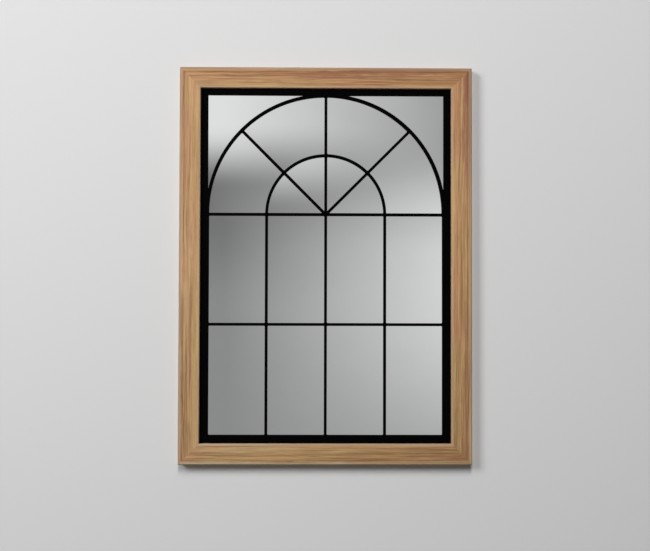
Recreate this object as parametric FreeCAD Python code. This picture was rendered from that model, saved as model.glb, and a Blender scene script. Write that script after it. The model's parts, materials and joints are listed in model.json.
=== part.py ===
import FreeCAD, Part
import math
import os

# A wall mirror: a mitred wood frame, a black iron grille drawn as an arched window,
# one sheet of mirror glass behind it, and the hanging hardware on the back.
# Millimetres. X runs to the right, Z up, and -Y faces the room. The origin lies on the
# wall, midway between the two wall hooks, at the height where they carry the rings.

# Frame
FRAME_WIDTH = 590.0
FRAME_HEIGHT = 800.0
HOOK_DROP = 180.0
WALL_GAP = 6.0

# Wood moulding
FACE_WIDTH = 42.0
LIP_THICKNESS = 10.0
RABBET_WIDTH = 7.0
EDGE_ROUND = 3.0
SIGHT_ROUND = 2.5
SLOPE_WIDTH = 16.0
SLOPE_DROP = 1.2
BAND_WIDTH = 9.0
GROOVE_WIDTH = 1.2
GROOVE_DEPTH = 0.8

# Nails across the mitres
NAILS_PER_CORNER = 2
NAIL_FROM_EDGE = 11.0
NAIL_PITCH = 11.0
NAIL_LEG = 7.0
NAIL_THICKNESS = 0.8
NAIL_DEPTH = 12.0

# Layers held in the rabbet
GRILLE_DEPTH = 4.0
GLASS_THICKNESS = 4.0
GLASS_ARRIS = 0.6
CARD_THICKNESS = 1.0
BOARD_THICKNESS = 3.0
BOARD_RECESS = 0.2
PANEL_GAP = 1.5
BOARD_GAP = 0.5
BLOCK_LENGTH = 40.0
BLOCK_OFFSET = 150.0

# Grille
BORDER_SHOWN = 14.5
TOP_BORDER_SHOWN = 13.0
BOTTOM_BORDER_SHOWN = 16.5
ARCH_WIDTH = 6.7
ARCH_LET_IN_SIDES = 4.0
ARCH_LET_IN_TOP = 3.0
ARCH_STILT = 2.5
MUNTIN_WIDTH = 5.8
BAR_EASE = 0.5
RADIAL_ANGLE = 45.0

# Turn buttons that hold the board
BUTTON_WIDTH = 10.0
BUTTON_REACH = 16.0
BUTTON_THICKNESS = 1.2
BUTTON_LIFT = 0.15
BUTTON_SET_BACK = 4.0
BUTTON_BELOW_STRAP = 45.0
LOWER_BUTTON_RISE = 230.0
RAIL_BUTTON_OFFSET = 130.0

# Hanger straps and D-rings
RING_WIRE_RADIUS = 1.5
RING_CORNER_RADIUS = 3.0
RING_ARM = 4.0
RING_REST_GAP = 0.4
STRAP_METAL = 1.0
STRAP_WIDTH = 14.0
STRAP_SIDE_PLAY = 0.8
STRAP_NECK = 6.0
STRAP_END = 7.0
STRAP_SCREW_PITCH = 12.0
STRAP_CORNER_RADIUS = 4.0

# Screws and running fits
SCREW_SHANK_RADIUS = 1.5
SCREW_HEAD_RADIUS = 3.4
SCREW_HEAD_HEIGHT = 2.0
SCREW_HEAD_ROUND = 1.2
SCREW_LENGTH = 14.0
SCREW_MARGIN = 3.0
RECESS_LENGTH = 3.6
RECESS_WIDTH = 0.9
RECESS_DEPTH = 1.0
FIT_CLEARANCE = 0.05

# Bumpers
BUMPER_RADIUS = 6.0
BUMPER_ROUND = 2.0
BUMPER_FROM_SIDE = 55.0

# Depths of the layers, from the wall to the front of the wood
WOOD_BACK_Y = -WALL_GAP
BOARD_BACK_Y = WOOD_BACK_Y - BOARD_RECESS
CARD_BACK_Y = BOARD_BACK_Y - BOARD_THICKNESS
GLASS_BACK_Y = CARD_BACK_Y - CARD_THICKNESS
GRILLE_BACK_Y = GLASS_BACK_Y - GLASS_THICKNESS
GRILLE_FRONT_Y = GRILLE_BACK_Y - GRILLE_DEPTH
WOOD_FRONT_Y = GRILLE_FRONT_Y - LIP_THICKNESS

# Outlines, from the outside of the wood inwards
FRAME_TOP_Z = HOOK_DROP
FRAME_BOTTOM_Z = FRAME_TOP_Z - FRAME_HEIGHT
FRAME_HALF = FRAME_WIDTH / 2
FRAME_MIDDLE_Z = (FRAME_TOP_Z + FRAME_BOTTOM_Z) / 2
BACK_MIDDLE = (FACE_WIDTH - RABBET_WIDTH) / 2
RABBET_INSET = FACE_WIDTH - RABBET_WIDTH
PANEL_INSET = RABBET_INSET + PANEL_GAP
BOARD_INSET = RABBET_INSET + BOARD_GAP
WINDOW_HALF = FRAME_HALF - FACE_WIDTH - BORDER_SHOWN
WINDOW_TOP_Z = FRAME_TOP_Z - FACE_WIDTH - TOP_BORDER_SHOWN
WINDOW_BOTTOM_Z = FRAME_BOTTOM_Z + FACE_WIDTH + BOTTOM_BORDER_SHOWN
PANEL_HALF = FRAME_HALF - PANEL_INSET
PANEL_TOP_Z = FRAME_TOP_Z - PANEL_INSET
PANEL_BOTTOM_Z = FRAME_BOTTOM_Z + PANEL_INSET

# Setting out of the arches: the inner half circle springs from the upper cross bar, the outer
# one from a little above it, so that its crown lies in the top bar; four equal columns
ARCH_OUTER_RADIUS = WINDOW_HALF + ARCH_LET_IN_SIDES
ARCH_INNER_RADIUS = ARCH_OUTER_RADIUS - ARCH_WIDTH
ARCH_RADIUS = (ARCH_OUTER_RADIUS + ARCH_INNER_RADIUS) / 2
SPRING_Z = WINDOW_TOP_Z + ARCH_LET_IN_TOP - ARCH_OUTER_RADIUS
UPPER_BAR_Z = SPRING_Z - ARCH_STILT
COLUMN_PITCH = ARCH_RADIUS / 2
LOWER_BAR_Z = (UPPER_BAR_Z + WINDOW_BOTTOM_Z) / 2

# Setting out of the hanging hardware
HANGER_X = FRAME_HALF - BACK_MIDDLE
EYE_INNER_RADIUS = RING_WIRE_RADIUS + FIT_CLEARANCE
EYE_OUTER_RADIUS = EYE_INNER_RADIUS + STRAP_METAL
RING_HALF_WIDTH = STRAP_WIDTH / 2 + STRAP_SIDE_PLAY + RING_CORNER_RADIUS
RING_REACH = RING_CORNER_RADIUS + RING_ARM + RING_HALF_WIDTH
STRAP_FACE_Y = WOOD_BACK_Y + 2 * STRAP_METAL
PIVOT_Y = WOOD_BACK_Y + EYE_OUTER_RADIUS
PIVOT_Z = RING_WIRE_RADIUS - RING_REACH
RING_REST_RISE = STRAP_FACE_Y + RING_WIRE_RADIUS + RING_REST_GAP - PIVOT_Y
RING_REST_ANGLE = math.degrees(math.asin(RING_REST_RISE / RING_REACH))
NEAR_SCREW_Z = PIVOT_Z - RING_REACH - RING_WIRE_RADIUS - SCREW_HEAD_RADIUS - SCREW_MARGIN
FAR_SCREW_Z = NEAR_SCREW_Z - STRAP_SCREW_PITCH
STRAP_BOTTOM_Z = FAR_SCREW_Z - STRAP_END
HANGER_SCREW_PLACES = [(side * HANGER_X, z) for side in (-1, 1) for z in (NEAR_SCREW_Z, FAR_SCREW_Z)]

# Setting out of the turn buttons: name, pivot and the turn that points each one inwards
BUTTON_INSET = RABBET_INSET - BUTTON_SET_BACK - BUTTON_WIDTH / 2
BUTTON_X = FRAME_HALF - BUTTON_INSET
UPPER_BUTTON_Z = STRAP_BOTTOM_Z - BUTTON_BELOW_STRAP
LOWER_BUTTON_Z = FRAME_BOTTOM_Z + LOWER_BUTTON_RISE
TOP_BUTTON_Z = FRAME_TOP_Z - BUTTON_INSET
BOTTOM_BUTTON_Z = FRAME_BOTTOM_Z + BUTTON_INSET
BUTTON_BACK_Y = WOOD_BACK_Y + BUTTON_LIFT + BUTTON_THICKNESS
BUTTONS = {
    "turn_button_left_upper": (-BUTTON_X, UPPER_BUTTON_Z, 0),
    "turn_button_left_lower": (-BUTTON_X, LOWER_BUTTON_Z, 0),
    "turn_button_right_upper": (BUTTON_X, UPPER_BUTTON_Z, 180),
    "turn_button_right_lower": (BUTTON_X, LOWER_BUTTON_Z, 180),
    "turn_button_top_left": (-RAIL_BUTTON_OFFSET, TOP_BUTTON_Z, 90),
    "turn_button_top_right": (RAIL_BUTTON_OFFSET, TOP_BUTTON_Z, 90),
    "turn_button_bottom_left": (-RAIL_BUTTON_OFFSET, BOTTOM_BUTTON_Z, -90),
    "turn_button_bottom_right": (RAIL_BUTTON_OFFSET, BOTTOM_BUTTON_Z, -90),
}

ORIGIN = FreeCAD.Vector(0, 0, 0)
X_AXIS = FreeCAD.Vector(1, 0, 0)
Y_AXIS = FreeCAD.Vector(0, 1, 0)


def box(x0, x1, y0, y1, z0, z1):
    corner = FreeCAD.Vector(x0, y0, z0)
    return Part.makeBox(x1 - x0, y1 - y0, z1 - z0, corner)


def prism(edges, direction):
    return Part.Face(Part.Wire(edges)).extrude(direction)


def line(start, end):
    return Part.LineSegment(start, end).toShape()


def arc(start, middle, end):
    return Part.Arc(start, middle, end).toShape()


def polygon(points):
    return [line(a, b) for a, b in zip(points, points[1:] + points[:1])]


# Screw with a pan head, its seat at the origin, head towards +Y and shank towards -Y
def screw():
    head = Part.makeCylinder(SCREW_HEAD_RADIUS, SCREW_HEAD_HEIGHT, ORIGIN, Y_AXIS)
    rim = [edge for edge in head.Edges if edge.BoundBox.YMin > SCREW_HEAD_HEIGHT / 2]
    head = head.makeFillet(SCREW_HEAD_ROUND, rim)
    half_long = RECESS_LENGTH / 2
    half_wide = RECESS_WIDTH / 2
    floor = SCREW_HEAD_HEIGHT - RECESS_DEPTH
    flat_slot = box(-half_long, half_long, floor, SCREW_HEAD_HEIGHT, -half_wide, half_wide)
    upright_slot = box(-half_wide, half_wide, floor, SCREW_HEAD_HEIGHT, -half_long, half_long)
    shank = Part.makeCylinder(SCREW_SHANK_RADIUS, SCREW_LENGTH, ORIGIN, -Y_AXIS)
    return head.cut([flat_slot, upright_slot]).fuse(shank).removeSplitter()


def screw_hole(x, seat_y, z):
    radius = SCREW_SHANK_RADIUS + FIT_CLEARANCE
    seat = FreeCAD.Vector(x, seat_y, z)
    return Part.makeCylinder(radius, SCREW_LENGTH + FIT_CLEARANCE, seat, -Y_AXIS)


def screws(places, seat_y):
    return Part.makeCompound([screw().translated(FreeCAD.Vector(x, seat_y, z)) for x, z in places])


# Moulding of the frame along X: sight edge on z = 0, outer edge on z = FACE_WIDTH
def moulding(length):
    slope_y = WOOD_FRONT_Y + SLOPE_DROP
    groove = FACE_WIDTH - BAND_WIDTH
    bend = math.sqrt(0.5)
    sight_bend = SIGHT_ROUND * (1 - bend)
    edge_bend = EDGE_ROUND * (1 - bend)

    def at(out, y):
        return FreeCAD.Vector(-length / 2, y, out)

    sight_low = at(0, slope_y + SIGHT_ROUND)
    sight_high = at(SIGHT_ROUND, slope_y)
    edge_high = at(FACE_WIDTH - EDGE_ROUND, WOOD_FRONT_Y)
    edge_low = at(FACE_WIDTH, WOOD_FRONT_Y + EDGE_ROUND)
    face = [
        sight_high,
        at(SLOPE_WIDTH, WOOD_FRONT_Y),
        at(groove - GROOVE_WIDTH / 2, WOOD_FRONT_Y),
        at(groove, WOOD_FRONT_Y + GROOVE_DEPTH),
        at(groove + GROOVE_WIDTH / 2, WOOD_FRONT_Y),
        edge_high,
    ]
    back = [
        edge_low,
        at(FACE_WIDTH, WOOD_BACK_Y),
        at(RABBET_WIDTH, WOOD_BACK_Y),
        at(RABBET_WIDTH, GRILLE_FRONT_Y),
        at(0, GRILLE_FRONT_Y),
        sight_low,
    ]
    edges = [arc(sight_low, at(sight_bend, slope_y + sight_bend), sight_high)]
    edges += [line(a, b) for a, b in zip(face, face[1:])]
    edges += [arc(edge_high, at(FACE_WIDTH - edge_bend, WOOD_FRONT_Y + edge_bend), edge_low)]
    edges += [line(a, b) for a, b in zip(back, back[1:])]
    stick = prism(edges, X_AXIS * length)

    outer_half = length / 2
    sight_half = outer_half - FACE_WIDTH
    mitred = polygon([
        FreeCAD.Vector(-sight_half, WOOD_FRONT_Y, 0),
        FreeCAD.Vector(sight_half, WOOD_FRONT_Y, 0),
        FreeCAD.Vector(outer_half, WOOD_FRONT_Y, FACE_WIDTH),
        FreeCAD.Vector(-outer_half, WOOD_FRONT_Y, FACE_WIDTH),
    ])
    return stick.common(prism(mitred, Y_AXIS * (WOOD_BACK_Y - WOOD_FRONT_Y)))


# One nail seen from behind: an L whose corner sits on the mitre, a leg in each stick
def mitre_nail(x, z, side, up):
    points = [(0, 0), (NAIL_LEG, 0), (NAIL_LEG, NAIL_THICKNESS), (NAIL_THICKNESS, NAIL_THICKNESS),
              (NAIL_THICKNESS, NAIL_LEG), (0, NAIL_LEG)]
    outline = [FreeCAD.Vector(x - side * across, WOOD_BACK_Y, z - up * down) for across, down in points]
    return prism(polygon(outline), -Y_AXIS * NAIL_DEPTH)


def mitre_nails():
    nails = []
    for side in (-1, 1):
        for up, edge_z in ((-1, FRAME_BOTTOM_Z), (1, FRAME_TOP_Z)):
            for count in range(NAILS_PER_CORNER):
                inset = NAIL_FROM_EDGE + count * NAIL_PITCH
                nails.append(mitre_nail(side * (FRAME_HALF - inset), edge_z - up * inset, side, up))
    return nails


def wood_frame(nails):
    button_places = [(x, z) for x, z, turn in BUTTONS.values()]
    holes = [screw_hole(x, STRAP_FACE_Y, z) for x, z in HANGER_SCREW_PLACES]
    holes += [screw_hole(x, BUTTON_BACK_Y + BUTTON_LIFT, z) for x, z in button_places]
    middle = FreeCAD.Vector(0, 0, FRAME_MIDDLE_Z)
    sides = {
        "wood_top_rail": (FRAME_WIDTH, FRAME_HEIGHT, 0),
        "wood_right_stile": (FRAME_HEIGHT, FRAME_WIDTH, 90),
        "wood_bottom_rail": (FRAME_WIDTH, FRAME_HEIGHT, 180),
        "wood_left_stile": (FRAME_HEIGHT, FRAME_WIDTH, 270),
    }
    pieces = {}
    for name, (length, across, turn) in sides.items():
        stick = moulding(length).translated(FreeCAD.Vector(0, 0, across / 2 - FACE_WIDTH))
        stick.rotate(ORIGIN, Y_AXIS, turn)
        pieces[name] = stick.translated(middle).cut(nails + holes)
    return pieces


# Flat bar of the grille between two points of its centre line, front edges eased
def grille_bar(x0, z0, x1, z1, width, ease=BAR_EASE):
    half = width / 2
    length = math.hypot(x1 - x0, z1 - z0)
    section = [(-half, GRILLE_BACK_Y), (-half, GRILLE_FRONT_Y + ease), (ease - half, GRILLE_FRONT_Y),
               (half - ease, GRILLE_FRONT_Y), (half, GRILLE_FRONT_Y + ease), (half, GRILLE_BACK_Y)]
    if ease == 0:
        section = [section[0], section[2], section[3], section[5]]
    bar = prism(polygon([FreeCAD.Vector(0, y, across) for across, y in section]), X_AXIS * length)
    bar.rotate(ORIGIN, -Y_AXIS, math.degrees(math.atan2(z1 - z0, x1 - x0)))
    return bar.translated(FreeCAD.Vector(x0, 0, z0))


# Everything under an arch of this radius and springing height, down to the bottom bar
def arch_block(radius, spring_z):
    def at(x, z):
        return FreeCAD.Vector(x, GRILLE_FRONT_Y, z)

    left = at(-radius, spring_z)
    right = at(radius, spring_z)
    left_foot = at(-radius, WINDOW_BOTTOM_Z)
    right_foot = at(radius, WINDOW_BOTTOM_Z)
    edges = [line(left_foot, left), arc(left, at(0, spring_z + radius), right)]
    edges += [line(right, right_foot), line(right_foot, left_foot)]
    return prism(edges, Y_AXIS * GRILLE_DEPTH)


# A bar bent to a half circle with two straight legs, square edged
def arch_envelope(outer_radius, width, spring_z):
    return arch_block(outer_radius, spring_z).cut(arch_block(outer_radius - width, spring_z))


def eased_arch(envelope):
    def on_front(edge):
        bounds = edge.BoundBox
        foot = bounds.ZMax - WINDOW_BOTTOM_Z < BAR_EASE
        return bounds.YMax - GRILLE_FRONT_Y < BAR_EASE and not foot

    return envelope.makeChamfer(BAR_EASE, [edge for edge in envelope.Edges if on_front(edge)])


def grille():
    outer_arch = arch_envelope(ARCH_OUTER_RADIUS, ARCH_WIDTH, SPRING_Z)
    inner_arch = arch_envelope(COLUMN_PITCH + MUNTIN_WIDTH / 2, MUNTIN_WIDTH, UPPER_BAR_Z)
    under_arch = arch_block(ARCH_OUTER_RADIUS, SPRING_Z)
    crown_z = SPRING_Z + ARCH_RADIUS
    mullion_line = (0, WINDOW_BOTTOM_Z, 0, crown_z, MUNTIN_WIDTH)
    upper_line = (-ARCH_RADIUS, UPPER_BAR_Z, ARCH_RADIUS, UPPER_BAR_Z, MUNTIN_WIDTH)
    lower_line = (-ARCH_RADIUS, LOWER_BAR_Z, ARCH_RADIUS, LOWER_BAR_Z, MUNTIN_WIDTH)
    uprights = [outer_arch, inner_arch, grille_bar(*mullion_line, ease=0)]

    side_middle = (WINDOW_HALF + PANEL_HALF) / 2
    side_width = PANEL_HALF - WINDOW_HALF
    top_middle = (WINDOW_TOP_Z + PANEL_TOP_Z) / 2
    bottom_middle = (WINDOW_BOTTOM_Z + PANEL_BOTTOM_Z) / 2
    top_bar = grille_bar(-PANEL_HALF, top_middle, PANEL_HALF, top_middle, PANEL_TOP_Z - WINDOW_TOP_Z)
    bottom_bar = grille_bar(-PANEL_HALF, bottom_middle, PANEL_HALF, bottom_middle,
                            WINDOW_BOTTOM_Z - PANEL_BOTTOM_Z)
    pieces = {
        "grille_top_bar": top_bar.cut(under_arch),
        "grille_bottom_bar": bottom_bar,
        "grille_outer_arch": eased_arch(outer_arch),
        "grille_inner_arch": eased_arch(inner_arch),
        "grille_centre_mullion": grille_bar(*mullion_line).cut([outer_arch, inner_arch]),
        "grille_upper_cross_bar": grille_bar(*upper_line).cut(uprights),
        "grille_lower_cross_bar": grille_bar(*lower_line).cut(uprights),
    }
    hub = uprights + [grille_bar(*upper_line, ease=0)]
    for name, side in (("left", -1), ("right", 1)):
        side_bar = grille_bar(side * side_middle, WINDOW_BOTTOM_Z, side * side_middle, WINDOW_TOP_Z, side_width)
        pieces["grille_" + name + "_bar"] = side_bar.cut(under_arch)
        end_x = side * ARCH_RADIUS * math.cos(math.radians(RADIAL_ANGLE))
        end_z = UPPER_BAR_Z + ARCH_RADIUS * math.sin(math.radians(RADIAL_ANGLE))
        pieces["grille_" + name + "_radial"] = grille_bar(0, UPPER_BAR_Z, end_x, end_z, MUNTIN_WIDTH).cut(hub)
    return pieces


# Sheet in the rabbet: its inset from the outside of the frame and its two faces
def sheet(inset, front_y, back_y):
    half = FRAME_HALF - inset
    return box(-half, half, front_y, back_y, FRAME_BOTTOM_Z + inset, FRAME_TOP_Z - inset)


def layers():
    glass = sheet(PANEL_INSET, GRILLE_BACK_Y, GLASS_BACK_Y)
    return {
        "mirror_glass": glass.makeChamfer(GLASS_ARRIS, glass.Edges),
        "card_sheet": sheet(PANEL_INSET, GLASS_BACK_Y, CARD_BACK_Y),
        "backing_board": sheet(BOARD_INSET, CARD_BACK_Y, BOARD_BACK_Y),
    }


# Blocks in the bottom rabbet that carry the grille and the glass
def setting_blocks():
    half = BLOCK_LENGTH / 2
    floor_z = FRAME_BOTTOM_Z + RABBET_INSET
    return Part.makeCompound([
        box(x - half, x + half, GRILLE_FRONT_Y, GLASS_BACK_Y, floor_z, PANEL_BOTTOM_Z)
        for x in (-BLOCK_OFFSET, BLOCK_OFFSET)
    ])


# Turn button pointing along +X from its pivot at the origin
def turn_button():
    half = BUTTON_WIDTH / 2
    front_y = WOOD_BACK_Y + BUTTON_LIFT

    def at(x, z):
        return FreeCAD.Vector(x, front_y, z)

    edges = [
        line(at(0, half), at(BUTTON_REACH, half)),
        arc(at(BUTTON_REACH, half), at(BUTTON_REACH + half, 0), at(BUTTON_REACH, -half)),
        line(at(BUTTON_REACH, -half), at(0, -half)),
        arc(at(0, -half), at(-half, 0), at(0, half)),
    ]
    plate = prism(edges, Y_AXIS * BUTTON_THICKNESS)
    pivot = Part.makeCylinder(SCREW_SHANK_RADIUS + FIT_CLEARANCE, BUTTON_THICKNESS, at(0, 0), Y_AXIS)
    return plate.cut(pivot)


def turn_buttons():
    pieces = {}
    for name, (x, z, turn) in BUTTONS.items():
        button = turn_button()
        button.rotate(ORIGIN, Y_AXIS, turn)
        pieces[name] = button.translated(FreeCAD.Vector(x, 0, z))
    return pieces


# Strap folded double round the bar of its ring, seen from the side and pulled across
def hanger_strap(x):
    def at(y, z):
        return FreeCAD.Vector(x - STRAP_WIDTH / 2, y, z)

    across = X_AXIS * STRAP_WIDTH
    eye_back = at(WOOD_BACK_Y, PIVOT_Z)
    eye_wall = at(PIVOT_Y + EYE_OUTER_RADIUS, PIVOT_Z)
    foot_back = at(WOOD_BACK_Y, STRAP_BOTTOM_Z)
    foot_wall = at(STRAP_FACE_Y, STRAP_BOTTOM_Z)
    neck = at(STRAP_FACE_Y, PIVOT_Z - STRAP_NECK)
    edges = [line(foot_back, eye_back)]
    edges += [arc(eye_back, at(PIVOT_Y, PIVOT_Z + EYE_OUTER_RADIUS), eye_wall)]
    edges += [line(eye_wall, neck), line(neck, foot_wall), line(foot_wall, foot_back)]
    strap = prism(edges, across)
    corners = [edge for edge in strap.Edges
               if edge.BoundBox.ZMax < FAR_SCREW_Z and edge.BoundBox.XLength < STRAP_METAL]
    corners = [edge for edge in corners if edge.BoundBox.ZLength < STRAP_METAL]
    strap = strap.makeFillet(STRAP_CORNER_RADIUS, corners)
    eye = Part.makeCylinder(EYE_INNER_RADIUS, STRAP_WIDTH, at(PIVOT_Y, PIVOT_Z), X_AXIS)
    holes = [screw_hole(x, STRAP_FACE_Y, z) for z in (NEAR_SCREW_Z, FAR_SCREW_Z)]
    return strap.cut([eye] + holes)


# D-ring hanging from its bar: straight bar, two corners, two arms and a half circle
def d_ring(x):
    corner_x = RING_HALF_WIDTH - RING_CORNER_RADIUS
    corner_z = PIVOT_Z - RING_CORNER_RADIUS
    crown_z = corner_z - RING_ARM

    def at(across, z):
        return FreeCAD.Vector(x + across, PIVOT_Y, z)

    def round_wire(centre, direction):
        return Part.Face(Part.Wire(Part.makeCircle(RING_WIRE_RADIUS, centre, direction)))

    arm = FreeCAD.Vector(0, 0, -RING_ARM)
    pieces = [round_wire(at(-corner_x, PIVOT_Z), X_AXIS).extrude(X_AXIS * 2 * corner_x)]
    for side in (-1, 1):
        shoulder = round_wire(at(side * RING_HALF_WIDTH, corner_z), arm)
        pieces.append(shoulder.revolve(at(side * corner_x, corner_z), -Y_AXIS * side, 90))
        pieces.append(shoulder.extrude(arm))
    pieces.append(round_wire(at(RING_HALF_WIDTH, crown_z), arm).revolve(at(0, crown_z), Y_AXIS, 180))
    ring = pieces[0].fuse(pieces[1:]).removeSplitter()
    ring.rotate(at(0, PIVOT_Z), X_AXIS, RING_REST_ANGLE)
    return ring


def hangers():
    pieces = {}
    for name, side in (("left", -1), ("right", 1)):
        pieces["hanger_strap_" + name] = hanger_strap(side * HANGER_X)
        pieces["d_ring_" + name] = d_ring(side * HANGER_X)
    return pieces


# Rubber bumper on the bottom rail, its flat end on the wall
def bumpers():
    pieces = {}
    for name, side in (("left", -1), ("right", 1)):
        seat = FreeCAD.Vector(side * (FRAME_HALF - BUMPER_FROM_SIDE), WOOD_BACK_Y, FRAME_BOTTOM_Z + BACK_MIDDLE)
        bumper = Part.makeCylinder(BUMPER_RADIUS, WALL_GAP, seat, Y_AXIS)
        rim = [edge for edge in bumper.Edges if edge.BoundBox.YMin > WOOD_BACK_Y / 2]
        pieces["bumper_" + name] = bumper.makeFillet(BUMPER_ROUND, rim)
    return pieces


def main():
    nails = mitre_nails()
    button_places = [(x, z) for x, z, turn in BUTTONS.values()]
    pieces = wood_frame(nails)
    pieces["mitre_nails"] = Part.makeCompound(nails)
    pieces.update(grille())
    pieces.update(layers())
    pieces["setting_blocks"] = setting_blocks()
    pieces.update(turn_buttons())
    pieces["turn_button_screws"] = screws(button_places, BUTTON_BACK_Y + BUTTON_LIFT)
    pieces.update(hangers())
    pieces["hanger_screws"] = screws(HANGER_SCREW_PLACES, STRAP_FACE_Y)
    pieces.update(bumpers())
    os.makedirs("parts", exist_ok=True)
    for name, shape in pieces.items():
        shape.exportStep("parts/" + name + ".step")


main()
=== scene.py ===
import json
import math

import bmesh
import bpy
from mathutils import Euler, Matrix, Vector


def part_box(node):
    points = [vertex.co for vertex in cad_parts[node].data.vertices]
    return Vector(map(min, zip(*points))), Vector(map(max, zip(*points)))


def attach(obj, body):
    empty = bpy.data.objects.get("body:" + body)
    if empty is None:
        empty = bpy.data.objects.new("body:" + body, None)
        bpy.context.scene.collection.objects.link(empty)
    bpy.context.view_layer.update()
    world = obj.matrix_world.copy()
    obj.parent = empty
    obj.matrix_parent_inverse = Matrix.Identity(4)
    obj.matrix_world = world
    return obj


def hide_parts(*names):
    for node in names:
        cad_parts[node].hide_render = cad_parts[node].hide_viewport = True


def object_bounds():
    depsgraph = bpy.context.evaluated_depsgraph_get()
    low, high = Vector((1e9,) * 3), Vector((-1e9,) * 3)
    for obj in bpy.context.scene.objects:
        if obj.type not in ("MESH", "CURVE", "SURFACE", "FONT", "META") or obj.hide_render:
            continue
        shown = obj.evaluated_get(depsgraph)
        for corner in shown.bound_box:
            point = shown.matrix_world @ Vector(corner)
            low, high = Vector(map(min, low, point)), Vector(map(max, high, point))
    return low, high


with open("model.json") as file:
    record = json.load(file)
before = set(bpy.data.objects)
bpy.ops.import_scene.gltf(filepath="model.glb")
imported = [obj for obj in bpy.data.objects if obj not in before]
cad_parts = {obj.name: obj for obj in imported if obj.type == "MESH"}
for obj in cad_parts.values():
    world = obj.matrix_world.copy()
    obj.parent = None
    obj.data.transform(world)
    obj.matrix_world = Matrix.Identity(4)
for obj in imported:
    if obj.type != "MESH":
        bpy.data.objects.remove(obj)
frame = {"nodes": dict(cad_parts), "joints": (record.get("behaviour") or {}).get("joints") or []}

nodes = frame["nodes"]
cad_low, cad_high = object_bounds()


# Wood frame
# Four sticks of oiled hardwood, planed to one moulding, with the streaky brown and straw
# coloured figure of the board they were sawn from. They are mitred, glued and nailed.
# Pale bands painted along their rounded edges stand in for highlight and sheen.
def tone(red, green, blue):
    """A finish as its 8 bit screen colour, for a shader socket"""
    channels = [c / 255 for c in (red, green, blue)]
    return [c / 12.92 if c < 0.04045 else ((c + 0.055) / 1.055) ** 2.4 for c in channels] + [1.0]


def place(tree, kind, inputs=None, **settings):
    """Add a node, with its sockets set to plain values or wired to other sockets"""
    node = tree.nodes.new(kind)
    for name, value in settings.items():
        setattr(node, name, value)
    for socket, value in (inputs or {}).items():
        if isinstance(value, bpy.types.NodeSocket):
            tree.links.new(value, node.inputs[socket])
        else:
            node.inputs[socket].default_value = value
    return node


def reckon(tree, operation, *values):
    """One sum in a node tree"""
    return place(tree, "ShaderNodeMath", dict(enumerate(values)), operation=operation).outputs[0]


def fade(tree, value, start, end, low=0.0, high=1.0):
    """A soft step of a value from low to high between start and end"""
    inputs = {0: value, 1: start, 2: end, 3: low, 4: high}
    return place(tree, "ShaderNodeMapRange", inputs, interpolation_type="SMOOTHSTEP").outputs[0]


def stain(tree, amount, under, over, how="MIX"):
    """One colour laid over another"""
    inputs = {0: amount, 6: under, 7: over}
    return place(tree, "ShaderNodeMix", inputs, data_type="RGBA", blend_type=how).outputs[2]


def mottle(tree, where, stretch, shift=0.0, detail=2.0):
    """Noise drawn out along each axis, from 0 to 1"""
    drawn = place(tree, "ShaderNodeVectorMath", {0: where, 1: stretch}, operation="MULTIPLY").outputs[0]
    inputs = {"Vector": drawn, "W": shift, "Scale": 1.0, "Detail": detail}
    return place(tree, "ShaderNodeTexNoise", inputs, noise_dimensions="4D").outputs["Fac"]


def effect(name, inputs, outputs):
    """An empty shader node group with named inputs and outputs"""
    group = bpy.data.node_groups.new(name, "ShaderNodeTree")
    for socket, kind in inputs.items():
        group.interface.new_socket(socket, in_out="INPUT", socket_type="NodeSocket" + kind)
    for socket in outputs:
        group.interface.new_socket(socket, in_out="OUTPUT", socket_type="NodeSocketFloat")
    start = group.nodes.new("NodeGroupInput")
    end = group.nodes.new("NodeGroupOutput")
    return group, start.outputs, end.inputs


def finish(name, **plain):
    """A new material with its plain shader values set on the shader's own sockets"""
    material = bpy.data.materials.new(name)
    material.use_nodes = True
    shader = material.node_tree.nodes["Principled BSDF"]
    for socket, value in plain.items():
        shader.inputs[socket.replace("_", " ")].default_value = value
    return material, material.node_tree, shader


def add_effect(tree, group, inputs):
    """The outputs of a shader node group placed in a material"""
    return place(tree, "ShaderNodeGroup", inputs, node_tree=group).outputs


def spot_on_piece(tree):
    """The place on a piece in the frame's own coordinates"""
    return place(tree, "ShaderNodeTexCoord").outputs["Object"]


def coat(tree, shader, colour, roughness):
    """Wire a colour and a roughness that change over the surface"""
    tree.links.new(colour, shader.inputs["Base Color"])
    tree.links.new(roughness, shader.inputs["Roughness"])


def roughen(tree, shader, height, strength, distance):
    """Bump from a height that changes over the surface"""
    bump = place(tree, "ShaderNodeBump", {"Height": height, "Strength": strength, "Distance": distance})
    tree.links.new(bump.outputs[0], shader.inputs["Normal"])


timber_figure, given, made = effect(
    "timber_figure",
    {"Grain": "Vector", "Seed": "Float", "Ring Pitch": "Float", "Wander": "Float"},
    ["Rings", "Patches", "Bands", "Lines", "Flecks", "Fibre", "Pores"],
)
tree = timber_figure
ripple_depth = 0.0045
heart_across = 0.012
heart_behind = 0.058
log_taper = 0.012
wander = mottle(tree, given["Grain"], (2.4, 16.0, 16.0), given["Seed"])
ripple = mottle(tree, given["Grain"], (11.0, 50.0, 50.0), given["Seed"])
axes = place(tree, "ShaderNodeSeparateXYZ", {0: given["Grain"]}).outputs
drift = reckon(tree, "MULTIPLY", reckon(tree, "SUBTRACT", wander, 0.5), given["Wander"])
drift = reckon(tree, "MULTIPLY_ADD", reckon(tree, "SUBTRACT", ripple, 0.5), ripple_depth, drift)
bent = reckon(tree, "ADD", axes[2], drift)
flow = place(tree, "ShaderNodeCombineXYZ", {0: axes[0], 1: axes[1], 2: bent}).outputs[0]
across = reckon(tree, "SUBTRACT", bent, heart_across)
behind = reckon(tree, "ADD", axes[1], heart_behind)
radius = reckon(tree, "MULTIPLY_ADD", across, across, reckon(tree, "MULTIPLY", behind, behind))
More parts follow.
